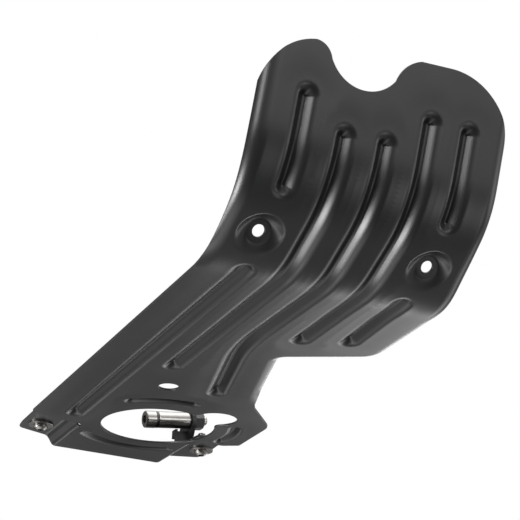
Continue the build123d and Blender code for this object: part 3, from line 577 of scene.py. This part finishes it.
quads = np.where(bad[:, None], quads[:, ::-1], quads)
lo, hi = np.array(cad_box[0]) / MM, np.array(cad_box[1]) / MM
V = np.clip(V, lo, hi)

mesh = bpy.data.meshes.new("plate_sheet")
mesh.from_pydata((V * MM).tolist(), [], [list(map(int, f)) for fs in faces for f in fs] + [list(map(int, q)) for q in quads])
mesh.polygons.foreach_set("use_smooth", [True] * len(mesh.polygons))
mesh.update()
NN /= np.linalg.norm(NN, axis=1)[:, None]
mesh.normals_split_custom_set_from_vertices(NN.tolist())
plate = bpy.data.objects.new("plate_sheet", mesh)
bpy.context.scene.collection.objects.link(plate)
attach(plate, "root")
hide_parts("skid_plate")
print("plate triangles", sum(len(p.vertices) - 2 for p in mesh.polygons), "points", len(V))


# ------------------------------------------------------------------ materials
def nodes_of(name):
    m = bpy.data.materials.new(name)
    m.use_nodes = True
    nt = m.node_tree
    nt.nodes.clear()
    out = nt.nodes.new("ShaderNodeOutputMaterial")
    bsdf = nt.nodes.new("ShaderNodeBsdfPrincipled")
    nt.links.new(bsdf.outputs[0], out.inputs[0])
    return m, nt, bsdf


def noise(nt, scale, detail=4.0, rough=0.55, stretch=None):
    tc = nt.nodes.new("ShaderNodeTexCoord")
    tex = nt.nodes.new("ShaderNodeTexNoise")
    tex.inputs["Scale"].default_value = scale
    tex.inputs["Detail"].default_value = detail
    tex.inputs["Roughness"].default_value = rough
    if stretch:
        mp = nt.nodes.new("ShaderNodeMapping")
        mp.inputs["Scale"].default_value = stretch
        nt.links.new(tc.outputs["Object"], mp.inputs["Vector"])
        nt.links.new(mp.outputs[0], tex.inputs["Vector"])
    else:
        nt.links.new(tc.outputs["Object"], tex.inputs["Vector"])
    return tex.outputs["Fac"]


def ramp_node(nt, fac, stops):
    r = nt.nodes.new("ShaderNodeValToRGB")
    while len(r.color_ramp.elements) < len(stops):
        r.color_ramp.elements.new(0.5)
    for e, (pos, col) in zip(r.color_ramp.elements, stops):
        e.position = pos
        e.color = (*col, 1) if len(col) == 3 else col
    nt.links.new(fac, r.inputs[0])
    return r.outputs[0]


def map_range(nt, fac, a, b, c, d):
    m = nt.nodes.new("ShaderNodeMapRange")
    for k, v in zip((1, 2, 3, 4), (a, b, c, d)):
        m.inputs[k].default_value = v
    nt.links.new(fac, m.inputs[0])
    return m.outputs[0]


def bump(nt, bsdf, height, strength, distance, prior=None):
    b = nt.nodes.new("ShaderNodeBump")
    b.inputs["Strength"].default_value = strength
    b.inputs["Distance"].default_value = distance
    nt.links.new(height, b.inputs["Height"])
    if prior is not None:
        nt.links.new(prior, b.inputs["Normal"])
    nt.links.new(b.outputs[0], bsdf.inputs["Normal"])
    return b.outputs[0]


def paint():
    m, nt, b = nodes_of("black_paint")
    col = ramp_node(nt, noise(nt, 9.0, 5.0), [(0.3, (0.0085, 0.0086, 0.0092)), (0.72, (0.0125, 0.0127, 0.0133))])
    nt.links.new(col, b.inputs["Base Color"])
    nt.links.new(map_range(nt, noise(nt, 22.0, 6.0), 0.3, 0.7, 0.27, 0.34), b.inputs["Roughness"])
    b.inputs["Specular IOR Level"].default_value = 0.5
    h = bump(nt, b, noise(nt, 900.0, 2.0), 0.05, 0.0004)
    return m


def zinc(name, base=(0.50, 0.485, 0.46), rough=(0.17, 0.27)):
    m, nt, b = nodes_of(name)
    col = ramp_node(nt, noise(nt, 70.0, 3.0), [(0.3, tuple(c * 0.72 for c in base)), (0.72, base)])
    nt.links.new(col, b.inputs["Base Color"])
    b.inputs["Metallic"].default_value = 1.0
    nt.links.new(map_range(nt, noise(nt, 110.0, 3.0), 0.3, 0.7, *rough), b.inputs["Roughness"])
    bump(nt, b, noise(nt, 420.0, 2.0), 0.05, 0.0002)
    return m


def black_steel():
    m, nt, b = nodes_of("black_steel")
    col = ramp_node(nt, noise(nt, 60.0, 5.0), [(0.3, (0.012, 0.012, 0.013)), (0.75, (0.028, 0.028, 0.029))])
    nt.links.new(col, b.inputs["Base Color"])
    nt.links.new(map_range(nt, noise(nt, 160.0, 5.0), 0.3, 0.7, 0.34, 0.52), b.inputs["Roughness"])
    bump(nt, b, noise(nt, 1100.0, 3.0), 0.08, 0.0004)
    return m


m_paint, m_zinc, m_black = paint(), zinc("bright_zinc"), black_steel()
# rougher copy of the zinc for the lock washer; its much darker colour is painted shade
m_lock_washer_painted_shade = zinc("dull_zinc", (0.10, 0.097, 0.092), (0.30, 0.40))
# darker copy of the zinc for the tab screws and washers: the darkening is painted shade, not their own colour
m_tab_zinc_painted_shade = zinc("tab_zinc_painted_shade", (0.27, 0.26, 0.245), (0.26, 0.36))
mesh.materials.append(m_paint)
BRIGHT = ("clamp_bolt", "clamp_sleeve")
for name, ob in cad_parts.items():
    if name == "skid_plate":
        continue
    ob.data.materials.clear()
    # tab screws, tab washers and lock washer get zinc copies darkened with painted shade
    ob.data.materials.append(m_tab_zinc_painted_shade if name.startswith(("tab_screw", "tab_washer")) else m_zinc if name.startswith(BRIGHT)
                             else m_lock_washer_painted_shade if name.startswith("lock_washer") else m_black)

# ------------------------------------------------------------------ stage
fm, nt, b = nodes_of("floor_pale")
b.inputs["Roughness"].default_value = 0.9
col = ramp_node(nt, noise(nt, 1.5, 3.0), [(0.3, (0.80, 0.80, 0.80)), (0.7, (0.83, 0.83, 0.83))])
nt.links.new(col, b.inputs["Base Color"])
fmesh = bpy.data.meshes.new("floor")
fmesh.from_pydata([(-4, -4, -0.62), (4, -4, -0.62), (4, 4, -0.62), (-4, 4, -0.62)], [], [(0, 1, 2, 3)])
fmesh.materials.append(fm)
floor = bpy.data.objects.new("floor", fmesh)
bpy.context.scene.collection.objects.link(floor)
# the soft boxes stand all round, so the floor is only looked at
floor.visible_diffuse = floor.visible_glossy = floor.visible_transmission = floor.visible_shadow = False


# soft boxes around the part: azimuth from +X towards +Y, height, lean of the
# long side from level, half lengths (all in degrees), brightness
BOXES = [("strip_right", -95, -31, 70, 6, 6, 46.0),
         ("spot_right", -60, 8, 0, 6, 5, 18.0),
         ("band_front", 8, 1, 0, 20, 5, 3.6),
         ("panel_left", 76, 2, 0, 9, 7, 2.2),
         ("panel_front_left", 45, -28, 0, 8.5, 8.5, 2.5),
         ("panel_left_rear", 118, -30, 0, 8, 8, 2.6),
         ("panel_left_low", 98, -20, 0, 8, 6, 2.2),
         ("panel_rear_right", -144, -12, 0, 7.5, 7.5, 2.4),
         ("panel_rear_left", 139, -28, 0, 6.5, 6.5, 4.6),
         ("edge_rear_left", 143, 3, 0, 6, 6, 3.6),
         ("panel_rear", 171, -24, 0, 4.5, 4.5, 1.7),
         ("low_rear_right", -160, -46, 0, 9, 9, 2.2),
         ("low_rear_left", 165, -52, 0, 9, 9, 0.4),
         ("low_left", 80, -46, 0, 9, 9, 0.6),
         ("under_right", -120, -66, 0, 9, 9, 4.0),
         ("under_left", 120, -66, 0, 9, 9, 0.3),
         ("under", 180, -88, 0, 9, 9, 1.6),
         ("over", 40, 78, 0, 26, 26, 3.2)]
FILL = 0.03
world = bpy.data.worlds.new("studio")
bpy.context.scene.world = world
world.use_nodes = True
wn = world.node_tree
wn.nodes.clear()
wn_dir = wn.nodes.new("ShaderNodeTexCoord").outputs["Generated"]


def wn_math(op, *vals):
    m = wn.nodes.new("ShaderNodeMath")
    m.operation = op
    for k, v in enumerate(vals):
        if isinstance(v, (int, float)):
            m.inputs[k].default_value = v
        else:
            wn.links.new(v, m.inputs[k])
    return m.outputs[0]


def wn_dot(vec):
    m = wn.nodes.new("ShaderNodeVectorMath")
    m.operation = "DOT_PRODUCT"
    wn.links.new(wn_dir, m.inputs[0])
    m.inputs[1].default_value = vec
    return m.outputs["Value"]


total = None
for name, az, el, lean, long, short, power in BOXES:
    az, el, lean = rad(az), rad(el), rad(lean)
    w = Vector((math.cos(az) * math.cos(el), math.sin(az) * math.cos(el), math.sin(el)))
    e = Vector((-math.sin(az), math.cos(az), 0))
    n = w.cross(e)
    u, v = e * math.cos(lean) + n * math.sin(lean), n * math.cos(lean) - e * math.sin(lean)
    a, b = wn_dot(u / math.sin(rad(long))), wn_dot(v / math.sin(rad(short)))
    q = wn_math("ADD", wn_math("MULTIPLY", a, a), wn_math("MULTIPLY", b, b))
    g = wn_math("MULTIPLY", wn_math("EXPONENT", wn_math("MULTIPLY", q, -0.5)), wn_math("GREATER_THAN", wn_dot(w), 0.0))
    g = wn_math("MULTIPLY", g, power)
    g.node.name = name
    total = wn_math("ADD", g, FILL if total is None else total)
    if name == BOXES[0][0]:
        total.node.name = "fill"
boxes, white = wn.nodes.new("ShaderNodeBackground"), wn.nodes.new("ShaderNodeBackground")
wn.links.new(total, boxes.inputs["Color"])
white.inputs["Color"].default_value = (1, 1, 1, 1)
pick, lp, wo = wn.nodes.new("ShaderNodeMixShader"), wn.nodes.new("ShaderNodeLightPath"), wn.nodes.new("ShaderNodeOutputWorld")
wn.links.new(lp.outputs["Is Camera Ray"], pick.inputs[0])
wn.links.new(boxes.outputs[0], pick.inputs[1])
wn.links.new(white.outputs[0], pick.inputs[2])
wn.links.new(pick.outputs[0], wo.inputs["Surface"])

cam = bpy.data.cameras.new("camera")
cam.sensor_width = 36.0
cam.lens = 81.8885
cam.clip_start, cam.clip_end = 0.05, 30
cam_ob = bpy.data.objects.new("camera", cam)
right_v, down_v, fwd = ((0.456459, 0.889499, 0.020868), (-0.372206, 0.212201, -0.903567), (-0.808151, 0.404675, 0.427938))
rot = Matrix((right_v, tuple(-k for k in down_v), tuple(-k for k in fwd))).transposed()
cam_ob.matrix_world = Matrix.Translation((0.753614, -0.299410, -0.249988)) @ rot.to_4x4()
bpy.context.scene.collection.objects.link(cam_ob)
bpy.context.scene.camera = cam_ob
bpy.context.scene.view_settings.view_transform = "Standard"
